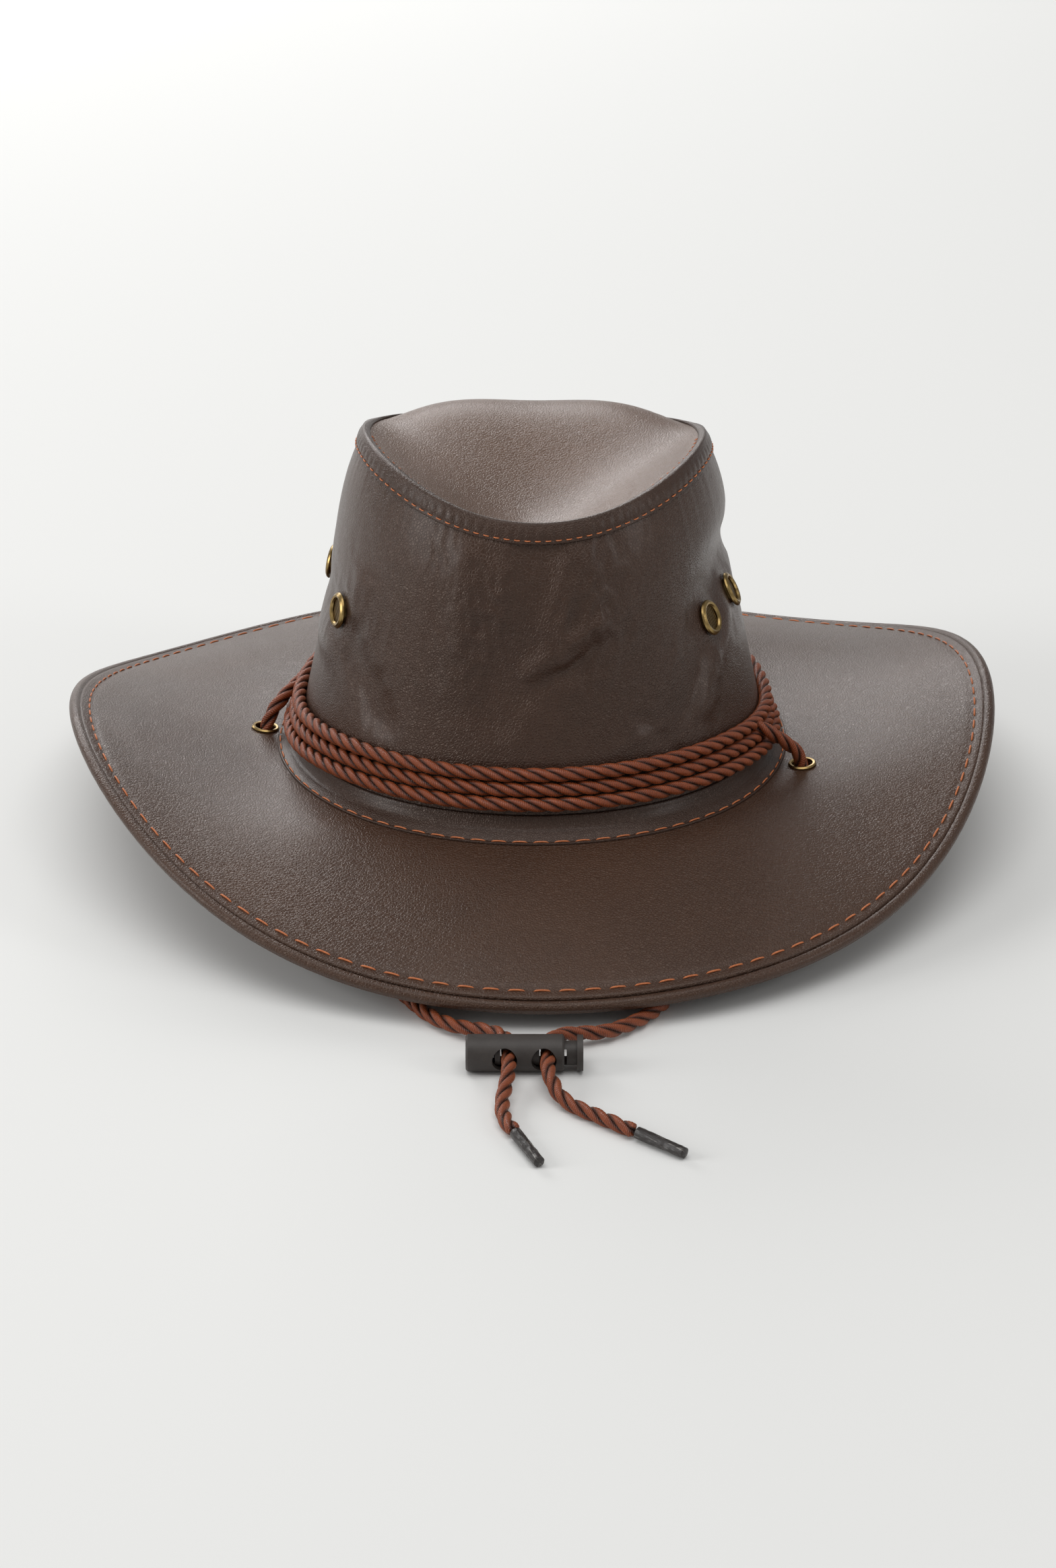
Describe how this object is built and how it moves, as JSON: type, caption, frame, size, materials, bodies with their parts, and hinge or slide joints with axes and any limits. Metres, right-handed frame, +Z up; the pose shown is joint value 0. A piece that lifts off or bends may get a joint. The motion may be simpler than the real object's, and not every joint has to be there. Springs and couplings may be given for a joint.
{
  "type": "cowboy hat",
  "caption": "Outback-style cowboy hat with dished crown, wired curled brim, twisted rope band, vented sides and a chin cord with a spring toggle lock.",
  "frame": {"origin": "centre of the hat's footprint on the table, below the middle of the brim, measured without the chin cord, its lock and its sheaths", "axes": "+X to the wearer's left (the right of the front view), +Y to the back of the hat, +Z up; the front of the hat faces -Y"},
  "size_m": [0.354, 0.478, 0.1569],
  "materials": {
    "leatherette": "satin grained leatherette",
    "lining_cloth": "woven lining",
    "sweatband_cloth": "twill tape",
    "brim_foam": "felted stiffener",
    "spring_steel": "drawn wire",
    "rope": "satin twisted cord",
    "antique_brass": "antique plated",
    "shrink_sheath": "crinkled shrunk sheath",
    "lock_plastic": "moulded matte"
  },
  "bodies": {
    "hat": {"crown_side": "leatherette", "crown_tip": "leatherette", "crown_rim_fold": "leatherette", "crown_collar": "leatherette", "lining_side": "lining_cloth", "lining_tip": "lining_cloth", "sweatband": "sweatband_cloth", "brim_upper": "leatherette", "brim_core": "brim_foam", "brim_under": "leatherette", "brim_wire": "spring_steel", "brim_binding": "leatherette", "band_turn_low": "rope", "band_turn_middle": "rope", "band_turn_high": "rope", "vent_rims": "antique_brass", "vent_meshes": "antique_brass", "vent_washers": "antique_brass", "brim_eyelets": "antique_brass", "brim_washers": "antique_brass", "chin_cord_left": "rope", "chin_cord_right": "rope", "aglet_left": "shrink_sheath", "aglet_right": "shrink_sheath"},
    "lock": {"lock_barrel": "lock_plastic", "lock_spring": "spring_steel"},
    "plunger": {"lock_plunger": "lock_plastic"}
  },
  "joints": [
    {"name": "lock_slide", "type": "slide", "parent": "hat", "child": "lock", "axis": [0, -1, 0], "range_m": [0, 0.005]},
    {"name": "plunger_press", "type": "slide", "parent": "lock", "child": "plunger", "axis": [-1, 0, 0], "range_m": [0, 0.0035], "stiffness_N_per_m": 900, "springref_m": -0.002, "deforming": ["lock_spring"]}
  ]
}
